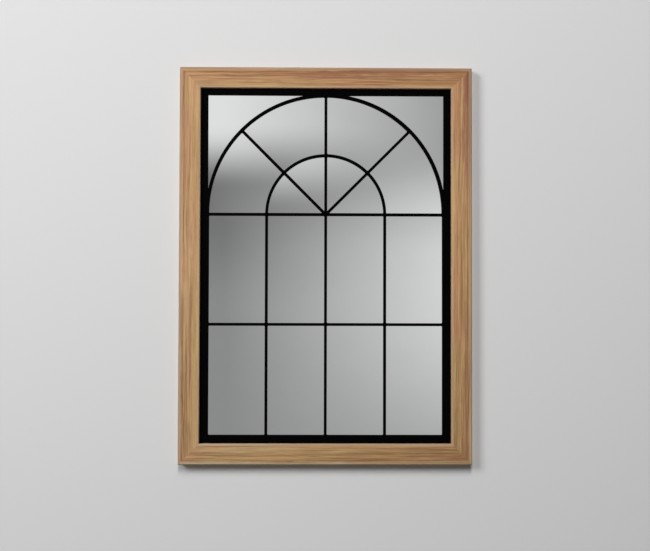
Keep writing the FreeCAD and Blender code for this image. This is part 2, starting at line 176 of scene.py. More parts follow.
radius = reckon(tree, "MULTIPLY_ADD", axes[0], log_taper, reckon(tree, "SQRT", radius))
year = reckon(tree, "FRACT", reckon(tree, "DIVIDE", radius, given["Ring Pitch"]))
late = reckon(tree, "MULTIPLY", fade(tree, year, 0.2, 0.86), fade(tree, year, 1.0, 0.88))
tree.links.new(late, made["Rings"])
figures = {
    "Patches": ((13.0, 70.0, 75.0), 2.0),
    "Bands": ((3.2, 90.0, 95.0), 3.0),
    "Lines": ((4.0, 210.0, 220.0), 3.0),
    "Flecks": ((24.0, 560.0, 560.0), 3.0),
    "Fibre": ((14.0, 1300.0, 1300.0), 3.0),
}
for figure, (stretch, detail) in figures.items():
    tree.links.new(mottle(tree, flow, stretch, given["Seed"], detail), made[figure])
pores = mottle(tree, flow, (130.0, 3600.0, 3600.0), given["Seed"], 1.0)
tree.links.new(fade(tree, pores, 0.64, 0.74), made["Pores"])

grain_streak, given, made = effect(
    "grain_streak",
    {"Along": "Float", "Out": "Float", "Start": "Float", "End": "Float", "Out Start": "Float",
     "Out End": "Float", "Bow": "Float", "Width": "Float", "Seed": "Float"},
    ["Mask"],
)
tree = grain_streak
length = reckon(tree, "SUBTRACT", given["End"], given["Start"])
part = reckon(tree, "DIVIDE", reckon(tree, "SUBTRACT", given["Along"], given["Start"]), length)
line = fade(tree, part, 0.0, 1.0, given["Out Start"], given["Out End"])
rest = reckon(tree, "SUBTRACT", 1.0, part)
hump = reckon(tree, "MULTIPLY", reckon(tree, "MULTIPLY", part, 4.0), rest)
line = reckon(tree, "MULTIPLY_ADD", hump, given["Bow"], line)
inputs = {0: given["Along"], 1: given["Out"], 2: given["Seed"]}
here = place(tree, "ShaderNodeCombineXYZ", inputs).outputs[0]
wiggle = reckon(tree, "SUBTRACT", mottle(tree, here, (26.0, 25.0, 1.0), 0.0, 2.0), 0.5)
wiggle_depth = 0.005
line = reckon(tree, "MULTIPLY_ADD", wiggle, wiggle_depth, line)
swell = mottle(tree, here, (40.0, 60.0, 1.0), 3.0, 2.0)
half = reckon(tree, "MULTIPLY", given["Width"], fade(tree, swell, 0.25, 0.75, 0.35, 1.0))
off = reckon(tree, "ABSOLUTE", reckon(tree, "SUBTRACT", given["Out"], line))
body = fade(tree, reckon(tree, "DIVIDE", off, half), 1.0, 0.3)
ends = reckon(tree, "MULTIPLY", fade(tree, part, 0.0, 0.2), fade(tree, part, 1.0, 0.8))
torn = fade(tree, mottle(tree, here, (30.0, 900.0, 1.0), 7.0, 3.0), 0.25, 0.6, 0.55, 1.0)
tree.links.new(reckon(tree, "MULTIPLY", reckon(tree, "MULTIPLY", body, ends), torn), made["Mask"])

rail_low, rail_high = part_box("wood_top_rail")
face_width = rail_high.z - rail_low.z
half_width = rail_high.x
half_height = (cad_high.z - cad_low.z) / 2
frame_middle = Vector((0, rail_low.y, (cad_high.z + cad_low.z) / 2))
vein_brown = tone(122, 84, 54)
flame_red = tone(142, 92, 68)
blush = tone(182, 126, 99)
straw = tone(201, 166, 112)
olive = tone(170, 142, 98)
# pale colour painted on the lower outer arrises as their highlight
arris_highlight_pale = tone(214, 196, 168)
# pale colour painted on the rounded sight edge as its highlight
lip_highlight_colour = tone(186, 158, 130)
# grey painted on the rounded outer edge as its sheen
edge_sheen_grey = tone(166, 144, 118)
raw_wood = tone(190, 160, 124)
ring_pitch = 0.0048
grain_wander = 0.016
sapwood_wander = 0.018

# Each stick has its colours at its start, middle and end, in the outer and the inner half of
# its face. The top rail starts at the left, the others where turning it by turn degrees puts
# that end. A streak is its two ends along the stick, its distance out from the sight edge at
# each end, bow, half width, strength and colour.
sticks = {
    "wood_top_rail": dict(
        turn=0, seed=3.1, reach=half_height,
        outer=((190, 141, 101), (159, 109, 80), (158, 110, 77)),
        inner=((196, 151, 111), (179, 130, 91), (186, 136, 91)),
        streaks=[
            (-0.10, 0.23, 0.0285, 0.0385, 0.000, 0.0021, 0.75, flame_red),
            (-0.07, 0.10, 0.0225, 0.0235, -0.002, 0.0030, 0.70, flame_red),
            (0.08, 0.18, 0.0250, 0.0245, 0.001, 0.0036, 0.60, flame_red),
            (-0.22, -0.13, 0.0255, 0.0240, 0.000, 0.0048, 0.45, vein_brown),
            (-0.27, -0.19, 0.0330, 0.0260, 0.000, 0.0014, 0.40, vein_brown),
            (-0.26, 0.08, 0.0110, 0.0120, 0.001, 0.0040, 0.50, straw),
            (0.02, 0.27, 0.0055, 0.0045, 0.000, 0.0025, 0.55, straw),
            (-0.06, 0.22, 0.0270, 0.0290, 0.000, 0.0080, 0.35, blush),
            (-0.06, 0.26, 0.0300, 0.0330, 0.000, 0.0110, 0.80, flame_red),
        ],
    ),
    "wood_bottom_rail": dict(
        turn=180, seed=11.7, reach=half_height,
        outer=((156, 126, 81), (165, 132, 91), (173, 144, 102)),
        inner=((167, 133, 86), (161, 127, 86), (195, 171, 127)),
        streaks=[
            (-0.02, 0.29, 0.0390, 0.0285, -0.001, 0.0018, 0.85, vein_brown),
            (0.00, 0.14, 0.0250, 0.0230, 0.000, 0.0035, 0.45, vein_brown),
            (0.10, 0.28, 0.0235, 0.0225, 0.000, 0.0040, 0.45, flame_red),
            (-0.13, -0.03, 0.0310, 0.0340, 0.001, 0.0030, 0.45, vein_brown),
            (0.07, 0.16, 0.0290, 0.0275, 0.000, 0.0030, 0.45, blush),
            (0.08, 0.27, 0.0370, 0.0365, 0.000, 0.0030, 0.40, straw),
            (0.10, 0.27, 0.0130, 0.0140, 0.000, 0.0050, 0.40, straw),
            (-0.26, 0.05, 0.0055, 0.0050, 0.000, 0.0022, 0.45, straw),
            (0.02, 0.27, 0.0310, 0.0320, 0.000, 0.0100, 0.50, straw),
            (-0.22, -0.01, 0.0310, 0.0310, 0.000, 0.0100, 0.30, vein_brown),
            (0.19, 0.36, 0.0130, 0.0130, 0.000, 0.0100, 0.40, straw),
            # This pale streak along the outer arris is a painted highlight.
            (-0.10, 0.36, 0.0405, 0.0395, 0.000, 0.0050, 0.85, arris_highlight_pale),
        ],
    ),
    "wood_left_stile": dict(
        turn=270, seed=23.4, reach=half_width,
        outer=((153, 113, 81), (212, 170, 131), (183, 133, 101)),
        inner=((196, 161, 116), (201, 156, 114), (214, 171, 122)),
        streaks=[
            (-0.40, -0.06, 0.0285, 0.0385, 0.002, 0.0017, 0.75, vein_brown),
            (-0.39, -0.24, 0.0220, 0.0240, 0.001, 0.0024, 0.60, vein_brown),
            (-0.27, -0.17, 0.0245, 0.0245, 0.001, 0.0015, 0.75, vein_brown),
            (-0.36, -0.21, 0.0105, 0.0095, 0.000, 0.0012, 0.40, olive),
            (-0.20, 0.12, 0.0080, 0.0065, 0.000, 0.0013, 0.35, olive),
            (0.10, 0.30, 0.0320, 0.0280, 0.000, 0.0055, 0.50, blush),
            (0.26, 0.40, 0.0375, 0.0330, 0.000, 0.0016, 0.60, vein_brown),
            (-0.32, 0.10, 0.0045, 0.0040, 0.000, 0.0028, 0.50, straw),
            (0.10, 0.36, 0.0110, 0.0110, 0.000, 0.0110, 0.45, straw),
            (-0.33, 0.01, 0.0110, 0.0110, 0.000, 0.0100, 0.40, straw),
            # This streak is a thin dark line along the outer groove.
            (-0.38, -0.08, 0.0335, 0.0335, 0.000, 0.0013, 0.55, vein_brown),
            # This pale streak along the lower outer arris is a painted highlight.
            (-0.42, -0.12, 0.0385, 0.0385, 0.000, 0.0035, 0.55, arris_highlight_pale),
            (-0.24, -0.03, 0.0310, 0.0310, 0.000, 0.0090, 0.32, straw),
            (0.03, 0.18, 0.0310, 0.0310, 0.000, 0.0090, 0.28, straw),
            (0.31, 0.46, 0.0125, 0.0125, 0.000, 0.0100, 0.30, blush),
        ],
    ),
    "wood_right_stile": dict(
        turn=90, seed=37.9, reach=half_width,
        outer=((149, 96, 80), (188, 143, 102), (167, 132, 91)),
        inner=((189, 138, 96), (187, 139, 94), (162, 129, 87)),
        streaks=[
            (0.16, 0.40, 0.0390, 0.0295, 0.000, 0.0015, 0.90, vein_brown),
            (0.24, 0.38, 0.0250, 0.0225, 0.001, 0.0040, 0.45, flame_red),
            (0.18, 0.25, 0.0300, 0.0260, 0.000, 0.0030, 0.50, vein_brown),
            (-0.40, -0.18, 0.0335, 0.0375, 0.001, 0.0016, 0.70, flame_red),
            (-0.29, -0.20, 0.0235, 0.0240, 0.001, 0.0030, 0.65, flame_red),
            (-0.16, 0.18, 0.0035, 0.0030, 0.000, 0.0030, 0.75, straw),
            (-0.19, 0.18, 0.0095, 0.0100, 0.000, 0.0032, 0.55, blush),
            (-0.10, 0.16, 0.0170, 0.0185, 0.000, 0.0030, 0.40, olive),
            (-0.44, -0.14, 0.0330, 0.0330, 0.000, 0.0110, 0.45, flame_red),
            (0.23, 0.45, 0.0125, 0.0125, 0.000, 0.0100, 0.36, vein_brown),
            (0.34, 0.47, 0.0320, 0.0320, 0.000, 0.0100, 0.35, vein_brown),
            (0.03, 0.24, 0.0310, 0.0310, 0.000, 0.0100, 0.28, vein_brown),
        ],
    ),
}

for stick, look in sticks.items():
    material, tree, shader = finish(stick + "_oiled", Specular_IOR_Level=0.3)
    turned = Euler((0, math.radians(-look["turn"]), 0))
    sight_edge = Vector((0, 0, look["reach"] - face_width))
    shift = -(turned.to_matrix() @ frame_middle) - sight_edge
    where = spot_on_piece(tree)
    inputs = {"Vector": where, "Location": shift, "Rotation": turned}
    grain = place(tree, "ShaderNodeMapping", inputs).outputs[0]
    along, depth, out = place(tree, "ShaderNodeSeparateXYZ", {0: grain}).outputs
    rings, patches, bands, lines, flecks, fibre, pores = add_effect(tree, timber_figure, {
        "Grain": grain, "Seed": look["seed"], "Ring Pitch": ring_pitch, "Wander": grain_wander})

    half = half_width if look["turn"] % 180 == 0 else half_height
    first_half = fade(tree, along, -0.7 * half, 0.0)
    last_half = fade(tree, along, 0.0, 0.7 * half)
    face = []
    for start, middle, end in (look["outer"], look["inner"]):
        blend = stain(tree, first_half, tone(*start), tone(*middle))
        face.append(stain(tree, last_half, blend, tone(*end)))
    heart, sap = face
    edge = reckon(tree, "MULTIPLY_ADD", bands, sapwood_wander, out)
    colour = stain(tree, fade(tree, edge, 0.031, 0.022), heart, sap)
    colour = stain(tree, fade(tree, patches, 0.5, 0.66, 0.0, 0.5), colour, olive)
    colour = stain(tree, fade(tree, patches, 0.5, 0.32, 0.0, 0.5), colour, blush)
    colour = stain(tree, fade(tree, bands, 0.5, 0.68, 0.0, 0.75), colour, straw)
    colour = stain(tree, fade(tree, bands, 0.5, 0.3, 0.0, 0.75), colour, flame_red)
    colour = stain(tree, reckon(tree, "MULTIPLY", rings, 0.25), colour, flame_red)
    colour = stain(tree, fade(tree, lines, 0.5, 0.3, 0.0, 0.72), colour, vein_brown)
    colour = stain(tree, fade(tree, lines, 0.5, 0.68, 0.0, 0.75), colour, straw)
    colour = stain(tree, fade(tree, flecks, 0.5, 0.28, 0.0, 0.4), colour, vein_brown)
    colour = stain(tree, fade(tree, flecks, 0.5, 0.72, 0.0, 0.4), colour, straw)
    for count, streak in enumerate(look["streaks"]):
        start, end, out_start, out_end, bow, width, strength, streak_colour = streak
        mask = add_effect(tree, grain_streak, {
            "Along": along, "Out": out, "Start": start, "End": end, "Out Start": out_start,
            "Out End": out_end, "Bow": bow, "Width": width, "Seed": look["seed"] + 5.0 * count})[0]
        colour = stain(tree, reckon(tree, "MULTIPLY", mask, strength), colour, streak_colour)
    colour = stain(tree, fade(tree, fibre, 0.5, 0.34, 0.0, 0.25), colour, straw)
    colour = stain(tree, fade(tree, fibre, 0.48, 0.68, 0.0, 0.45), colour, vein_brown)
    colour = stain(tree, reckon(tree, "MULTIPLY", pores, 0.5), colour, vein_brown)
    # A pale band painted along the sight edge, patchy with the bands, is a painted highlight on its rounded
    # arris.
    patchy = fade(tree, bands, 0.36, 0.56, 0.85, 0.5)
    lip_highlight_mask = reckon(tree, "MULTIPLY", fade(tree, out, 0.0062, 0.0028), patchy)
    colour = stain(tree, lip_highlight_mask, colour, lip_highlight_colour)
    # A paler, greyer band painted on the front of the rounded outer edge is painted sheen.
    at_front = fade(tree, depth, 0.0008, 0.0032, 1.0, 0.2)
    for begin, full, strength in ((0.0345, 0.0385, 0.55), (0.0390, 0.0415, 0.40)):
        edge_sheen_mask = reckon(tree, "MULTIPLY", fade(tree, out, begin, full, 0.0, strength), at_front)
        colour = stain(tree, edge_sheen_mask, colour, edge_sheen_grey)
    facing = place(tree, "ShaderNodeNewGeometry").outputs["Normal"]
    facing = place(tree, "ShaderNodeSeparateXYZ", {0: facing}).outputs["Y"]
    colour = stain(tree, fade(tree, facing, 0.4, 0.8, 0.0, 0.6), colour, raw_wood)
    coat(tree, shader, colour, fade(tree, reckon(tree, "ADD", rings, fibre), 0.3, 1.4, 0.5, 0.64))
    relief = reckon(tree, "SUBTRACT", reckon(tree, "MULTIPLY", fibre, 0.5), pores)
    roughen(tree, shader, relief, 0.35, 0.0002)
    nodes[stick].data.materials[0] = material


# Mitre nails
# Bent steel nails pressed across the back of each glued mitre, flush with the wood.
# Bright zinc, dulled by the press and by handling.
zinc_bloom, given, made = effect(
    "zinc_bloom", {"Point": "Vector", "Grain Size": "Float"}, ["Bloom", "Scratches"])
tree = zinc_bloom
inputs = {0: given["Point"], 3: given["Grain Size"]}
fine = place(tree, "ShaderNodeVectorMath", inputs, operation="SCALE").outputs[0]
spangle = place(tree, "ShaderNodeTexVoronoi", {"Vector": fine, "Scale": 1.0}).outputs["Color"]
spangle = place(tree, "ShaderNodeSeparateXYZ", {0: spangle}).outputs["X"]
cloud = reckon(tree, "MULTIPLY", mottle(tree, given["Point"], (420.0, 420.0, 420.0)), 0.82)
tree.links.new(reckon(tree, "MULTIPLY_ADD", spangle, 0.18, cloud), made["Bloom"])
lines = mottle(tree, given["Point"], (5200.0, 900.0, 340.0), 0.0, 3.0)
tree.links.new(fade(tree, lines, 0.58, 0.72), made["Scratches"])

zinc, tree, shader = finish("zinc_plate", Metallic=1.0)
where = spot_on_piece(tree)
bloom, scratches = add_effect(tree, zinc_bloom, {"Point": where, "Grain Size": 1500.0})
colour = stain(tree, bloom, tone(154, 157, 161), tone(184, 183, 177))
colour = stain(tree, reckon(tree, "MULTIPLY", scratches, 0.3), colour, tone(126, 128, 131))
coat(tree, shader, colour, fade(tree, bloom, 0.2, 0.8, 0.28, 0.46))
roughen(tree, shader, reckon(tree, "SUBTRACT", bloom, scratches), 0.07, 0.00005)
nodes["mitre_nails"].data.materials[0] = zinc


# Grille
# Flat iron bars drawn as an arched window: a border, two bent arches, a mullion, cross bars
# and two slanting bars, cut to fit, welded where they meet and painted dull black.
paint, tree, shader = finish("black_paint", Specular_IOR_Level=0.02)
where = spot_on_piece(tree)
peel = mottle(tree, where, (900.0, 900.0, 900.0))
rub = mottle(tree, where, (60.0, 160.0, 60.0), 9.0, 4.0)
colour = stain(tree, rub, tone(1, 1, 1), tone(4, 4, 4))
coat(tree, shader, colour, fade(tree, rub, 0.3, 0.7, 0.56, 0.7))
roughen(tree, shader, peel, 0.2, 0.0001)
for side in ("top", "bottom", "left", "right"):
    nodes["grille_" + side + "_bar"].data.materials[0] = paint


def shape_rule(name, sizes):
    """An empty Geometry Nodes tree that takes a plan and named sizes"""
    rule = bpy.data.node_groups.new(name, "GeometryNodeTree")
    for socket, kind in {"Plan": "Geometry", **sizes}.items():
        rule.interface.new_socket(socket, in_out="INPUT", socket_type="NodeSocket" + kind)
    rule.interface.new_socket("Piece", in_out="OUTPUT", socket_type="NodeSocketGeometry")
    start = rule.nodes.new("NodeGroupInput")
    end = rule.nodes.new("NodeGroupOutput")
    return rule, start.outputs, end.inputs[0]


def shade_by_fold(tree, shape, degrees):
    """Smooth shading that breaks at edges folded by more than some degrees"""
    shape = place(tree, "GeometryNodeSetShadeSmooth", {0: shape}, domain="FACE").outputs[0]
    fold = place(tree, "GeometryNodeInputMeshEdgeAngle").outputs[0]
    sharp = reckon(tree, "GREATER_THAN", fold, math.radians(degrees))
    inputs = {0: shape, "Selection": sharp, "Shade Smooth": False}
    return place(tree, "GeometryNodeSetShadeSmooth", inputs, domain="EDGE").outputs[0]


def end_rule(tree, shape, material, result):
    """Realize the instances of a tree, set their finish and put the piece out"""
    shape = place(tree, "GeometryNodeRealizeInstances", {0: shape}).outputs[0]
    inputs = {"Geometry": shape, "Material": material}
    tree.links.new(place(tree, "GeometryNodeSetMaterial", inputs).outputs[0], result)


def make_by_rule(name, rule, points, lines, sizes):
    """A plain mesh piece from a tree, the points and lines of its plan, and its sizes"""
    plan = bpy.data.meshes.new(name + "_plan")
    plan.from_pydata(points, lines, [])
    piece = bpy.data.objects.new(name, plan)
    bpy.context.scene.collection.objects.link(piece)
    modifier = piece.modifiers.new("rule", "NODES")
    modifier.node_group = rule
    for socket in rule.interface.items_tree:
        if socket.in_out == "INPUT" and socket.name in sizes:
            modifier[socket.identifier] = sizes[socket.name]
    made = piece.evaluated_get(bpy.context.evaluated_depsgraph_get())
    mesh = bpy.data.meshes.new_from_object(made)
    piece.modifiers.remove(modifier)
    piece.data = mesh
    bpy.data.meshes.remove(plan)
    mesh.name = name
    used = [material for material in mesh.materials if material]
    mesh.materials.clear()
    mesh.materials.append(used[0])
    return piece


def swept_bar(tree, path, width, depth, corner):
    """A flat bar with eased corners along a path drawn on the flat"""
    inputs = {"Width": width, "Height": depth}
    section = place(tree, "GeometryNodeCurvePrimitiveQuadrilateral", inputs).outputs[0]
    inputs = {"Curve": section, "Count": 2, "Radius": corner}
    section = place(tree, "GeometryNodeFilletCurve", inputs, mode="POLY").outputs[0]
    path = place(tree, "GeometryNodeSetCurveNormal", {"Curve": path}, mode="Z_UP").outputs[0]
    inputs = {"Curve": path, "Profile Curve": section, "Fill Caps": True}
    return place(tree, "GeometryNodeCurveToMesh", inputs).outputs[0]


def bent_path(tree, radius, springing, foot, points=281):
    """Centre line up one leg, round a half circle and down the other leg"""
    line = place(tree, "GeometryNodeCurvePrimitiveLine").outputs[0]
    line = place(tree, "GeometryNodeResampleCurve", {"Curve": line, "Count": points}).outputs[0]
    share = place(tree, "GeometryNodeSplineParameter").outputs["Factor"]
    leg = reckon(tree, "SUBTRACT", springing, foot)
    bend = reckon(tree, "MULTIPLY", radius, math.pi)
    gone = reckon(tree, "MULTIPLY", share, reckon(tree, "MULTIPLY_ADD", leg, 2.0, bend))
    past = reckon(tree, "SUBTRACT", gone, leg)
    angle = reckon(tree, "DIVIDE", past, radius)
    angle = place(tree, "ShaderNodeClamp", {0: angle, 2: math.pi}).outputs[0]
    across = reckon(tree, "MULTIPLY", reckon(tree, "COSINE", angle), radius)
    up = reckon(tree, "MULTIPLY_ADD", reckon(tree, "SINE", angle), radius, springing)
    for straight in (reckon(tree, "MULTIPLY", past, -1.0), reckon(tree, "SUBTRACT", past, bend)):
        up = reckon(tree, "SUBTRACT", up, reckon(tree, "MAXIMUM", straight, 0.0))
    spot = place(tree, "ShaderNodeCombineXYZ", {0: across, 1: up}).outputs[0]
    return place(tree, "GeometryNodeSetPosition", {"Geometry": line, "Position": spot}).outputs[0]


window_tracery, size, result = shape_rule("window_tracery", {
    "Outer Radius": "Float", "Outer Springing": "Float", "Inner Radius": "Float",
    "Inner Springing": "Float", "Foot": "Float", "Arch Width": "Float", "Bar Width": "Float",
    "Bar Depth": "Float", "Depth Middle": "Float", "Corner": "Float", "Paint": "Material"})
tree = window_tracery
outer_path = bent_path(tree, size["Outer Radius"], size["Outer Springing"], size["Foot"])
inner_path = bent_path(tree, size["Inner Radius"], size["Inner Springing"], size["Foot"])
straight_paths = place(tree, "GeometryNodeMeshToCurve", {"Mesh": size["Plan"]}).outputs[0]
joined = tree.nodes.new("GeometryNodeJoinGeometry")
paths = ((outer_path, "Arch Width"), (inner_path, "Bar Width"), (straight_paths, "Bar Width"))
for path, width in paths:
    bar = swept_bar(tree, path, size[width], size["Bar Depth"], size["Corner"])
    tree.links.new(bar, joined.inputs[0])
stand = place(tree, "ShaderNodeCombineXYZ", {1: size["Depth Middle"]}).outputs[0]
inputs = {"Geometry": joined.outputs[0], "Translation": stand, "Rotation": (math.pi / 2, 0, 0)}
bars = place(tree, "GeometryNodeTransform", inputs).outputs[0]
end_rule(tree, shade_by_fold(tree, bars, 20), size["Paint"], result)

arch_low, arch_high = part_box("grille_outer_arch")
inner_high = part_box("grille_inner_arch")[1]
cross_low, cross_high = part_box("grille_upper_cross_bar")
lower_low, lower_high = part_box("grille_lower_cross_bar")
bar_width = cross_high.z - cross_low.z
half_bar = bar_width / 2
arch_inside = cross_high.x
arch_width = arch_high.x - arch_inside
column = inner_high.x - half_bar
inner_inside = inner_high.x - bar_width
foot = arch_low.z
springing = arch_high.z - arch_high.x
hub = (cross_high.z + cross_low.z) / 2
lower_bar = (lower_high.z + lower_low.z) / 2
depth_middle = (arch_high.y + arch_low.y) / 2
slope = math.sqrt(0.5)
stilt = springing - hub
slant_reach = stilt * slope + math.sqrt(arch_inside ** 2 - (stilt * slope) ** 2)

# Each bar runs a little into the one that it meets. The slanting bars start inside the hub
# and lie a hair further back, so that no two faces share a plane.
bite = 0.0001
slant_start = 1.3 * half_bar
slant_set_back = -bite / 5
bar_lines = [
    ((0, foot), (0, hub + inner_inside + bite)),
    ((0, hub + inner_high.x - bite), (0, springing + arch_inside + bite)),
]
for side in (-1, 1):
    for height in (hub, lower_bar):
        for near, far in ((half_bar, inner_inside), (inner_high.x, arch_inside)):
            bar_lines.append(((side * (near - bite), height), (side * (far + bite), height)))
    for near, far in ((slant_start, inner_inside + bite), (inner_high.x - bite, slant_reach + bite)):
        bar_lines.append((
            (side * near * slope, hub + near * slope, slant_set_back),
            (side * far * slope, hub + far * slope, slant_set_back)))
plan_points = []
plan_lines = []
for line in bar_lines:
    plan_lines.append((len(plan_points), len(plan_points) + 1))
    plan_points += [(*end, 0)[:3] for end in line]
arched_bars = make_by_rule("arched_bars", window_tracery, plan_points, plan_lines, {
    "Outer Radius": arch_high.x - arch_width / 2, "Outer Springing": springing,
    "Inner Radius": column, "Inner Springing": hub, "Foot": foot, "Arch Width": arch_width,
    "Bar Width": bar_width, "Bar Depth": arch_high.y - arch_low.y,
    "Depth Middle": depth_middle, "Corner": 0.0006, "Paint": paint})
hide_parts("grille_outer_arch", "grille_inner_arch", "grille_centre_mullion",
            "grille_upper_cross_bar", "grille_lower_cross_bar", "grille_left_radial",
            "grille_right_radial")
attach(arched_bars, "frame")

weld_beads, size, result = shape_rule("weld_beads", {
    "Bead": "Float", "Bead Depth": "Float", "Seed": "Int", "Paint": "Material"})
tree = weld_beads
drop = place(tree, "GeometryNodeMeshIcoSphere", {"Radius": 1.0, "Subdivisions": 2}).outputs[0]
drop = place(tree, "GeometryNodeSetShadeSmooth", {0: drop}).outputs[0]
inputs = {2: 0.8, 3: 1.2, "Seed": size["Seed"]}
swell = place(tree, "FunctionNodeRandomValue", inputs, data_type="FLOAT").outputs[1]
bead = reckon(tree, "MULTIPLY", size["Bead"], swell)
scale = place(tree, "ShaderNodeCombineXYZ", {0: bead, 1: size["Bead Depth"], 2: bead}).outputs[0]
inputs = {"Points": size["Plan"], "Instance": drop, "Scale": scale}
beads = place(tree, "GeometryNodeInstanceOnPoints", inputs).outputs[0]
end_rule(tree, beads, size["Paint"], result)

corners = []
fork = half_bar * (1 + math.sqrt(2))
uprights = (inner_inside, inner_high.x, arch_inside)
cross_edges = (hub - half_bar, lower_bar - half_bar, lower_bar + half_bar)
crowns = (hub + inner_inside, hub + inner_high.x, springing + arch_inside)
for side in (-1, 1):
    for height in (hub, lower_bar):
        for edge in (-half_bar, half_bar):
            corners += [(side * reach, height + edge) for reach in uprights]
    corners += [(side * half_bar, height) for height in cross_edges]
    corners += [(side * reach, foot) for reach in (half_bar, *uprights)]
    corners += [(side * half_bar, height) for height in crowns]
    corners += [(side * half_bar, hub + fork), (side * fork, hub + half_bar)]
    for reach in (inner_inside, inner_high.x, slant_reach):
        for edge in (-half_bar, half_bar):
            corners.append((side * (reach - edge) * slope, hub + (reach + edge) * slope))
welds = make_by_rule("grille_welds", weld_beads, [(x, depth_middle, z) for x, z in corners], [], {
    "Bead": 0.0009, "Bead Depth": 0.0016, "Seed": 7, "Paint": paint})
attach(welds, "frame")


# Mirror glass
# Float glass silvered on the back, cut in panes that meet behind the bars and held there by
# the board. Each pane leans a little its own way, and has the faint clouds of a hand's wiping.
silver, tree, shader = finish("silvered_glass", Metallic=1.0)
where = spot_on_piece(tree)
wiped = mottle(tree, where, (9.0, 9.0, 22.0), 0.0, 3.0)
colour = stain(tree, wiped, tone(240, 241, 241), tone(235, 236, 236))
coat(tree, shader, colour, fade(tree, wiped, 0.35, 0.75, 0.015, 0.05))

glass_low, glass_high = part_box("mirror_glass")
arch_middle = arch_high.x - arch_width / 2
slant_middle = stilt * slope + math.sqrt(arch_middle ** 2 - (stilt * slope) ** 2)
slant_angle = math.degrees(math.atan2(slant_middle * slope - stilt, slant_middle * slope))
corner_rise = 0.03
corner_angle = math.degrees(math.asin(corner_rise / arch_middle))
cut_steps = 24


def round_cut(radius, centre, start, end):
    """Points of a cut along an arch, from one angle in degrees to another"""
    turns = [start + (end - start) * step / cut_steps for step in range(cut_steps + 1)]
    angles = [math.radians(turn) for turn in turns]
    return [(radius * math.cos(angle), centre + radius * math.sin(angle)) for angle in angles]


def square_cut(near, far, lower, upper):
    """Corners of a pane between two uprights and two heights"""
    return [(near, lower), (far, lower), (far, upper), (near, upper)]


# The outline of each pane on the right half, and how the left and the right one lean: the
# degrees that the face of the pane looks up, and then to the right.
panes = {
    "corner": (
        [(glass_high.x, springing + corner_rise)]
        + round_cut(arch_middle, springing, corner_angle, 90)
        + [(0, glass_high.z), (glass_high.x, glass_high.z)], (-0.85, 0.25), (-0.1, -0.2)),
    "outer_side": (
        [(arch_middle, hub)] + round_cut(arch_middle, springing, 0, slant_angle)
        + round_cut(column, hub, 45, 0), (-0.5, 0.95), (-0.85, 0.7)),
    "outer_crown": (
        round_cut(arch_middle, springing, slant_angle, 90)
        + round_cut(column, hub, 90, 45), (-1.05, 0.5), (-0.9, 0.55)),
    "inner_side": ([(0, hub)] + round_cut(column, hub, 0, 45), (0.35, 0.15), (-0.4, 0.2)),
    "inner_crown": ([(0, hub)] + round_cut(column, hub, 45, 90), (0.15, 0.25), (0.0, 0.5)),
    "upper_side": (square_cut(column, glass_high.x, lower_bar, hub), (-0.1, 0.25), (0.15, -0.05)),
    "upper_middle": (square_cut(0, column, lower_bar, hub), (0.15, -0.2), (0.0, -0.2)),
    "lower_side": (square_cut(column, glass_high.x, glass_low.z, lower_bar), (0.0, 0.1), (-0.1, 0.0)),
    "lower_middle": (square_cut(0, column, glass_low.z, lower_bar), (0.0, -0.1), (0.05, -0.05)),
}


def closed_piece(name, form):
    """A piece from a closed form, with its faces turned outwards"""
    bmesh.ops.recalc_face_normals(form, faces=form.faces)
    mesh = bpy.data.meshes.new(name)
    form.to_mesh(mesh)
    form.free()
    piece = bpy.data.objects.new(name, mesh)
    bpy.context.scene.collection.objects.link(piece)
    return piece


form = bmesh.new()
for cut, left_lean, right_lean in panes.values():
    for side, lean in ((-1, left_lean), (1, right_lean)):
        look_up, look_right = [math.tan(math.radians(angle)) for angle in lean]
        outline = [(side * x, z) for x, z in cut]
        set_back = [look_right * x + look_up * z for x, z in outline]
        front = glass_low.y - min(set_back)
        face = [form.verts.new((x, front + back, z)) for (x, z), back in zip(outline, set_back)]
        silvering = [form.verts.new((x, glass_high.y, z)) for x, z in outline]
        form.faces.new(face)
        form.faces.new(silvering)
        for step in range(len(outline)):
            form.faces.new((face[step - 1], face[step], silvering[step], silvering[step - 1]))
mirror_panes = closed_piece("mirror_panes", form)
mirror_panes.data.materials.append(silver)
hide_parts("mirror_glass")
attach(mirror_panes, "frame")


# Setting blocks and bumpers
# Black rubber: two blocks in the bottom rabbet carry the glass and the grille, and two
# round bumpers glued to the foot of the back keep the frame off the wall.
rubber, tree, shader = finish("black_rubber", Specular_IOR_Level=0.25)
where = spot_on_piece(tree)
speck = mottle(tree, where, (1400.0, 1400.0, 1400.0), 0.0, 3.0)
chalk = mottle(tree, where, (130.0, 130.0, 130.0), 4.0, 3.0)
colour = stain(tree, chalk, tone(34, 34, 35), tone(58, 57, 56))
coat(tree, shader, colour, fade(tree, chalk, 0.3, 0.7, 0.72, 0.9))
roughen(tree, shader, speck, 0.3, 0.0002)
for name in ("setting_blocks", "bumper_left", "bumper_right"):
    nodes[name].data.materials[0] = rubber


# Card sheet and backing board
# A sheet of grey card guards the silvering, and a brown hardboard panel, rough side out,
# closes the back of the rabbet.
card, tree, shader = finish("grey_card", Specular_IOR_Level=0.2)
where = spot_on_piece(tree)
pulp = mottle(tree, where, (500.0, 500.0, 380.0), 0.0, 4.0)
colour = stain(tree, pulp, tone(150, 142, 130), tone(176, 168, 154))
coat(tree, shader, colour, fade(tree, pulp, 0.2, 0.8, 0.8, 0.95))
roughen(tree, shader, pulp, 0.2, 0.0001)
nodes["card_sheet"].data.materials[0] = card

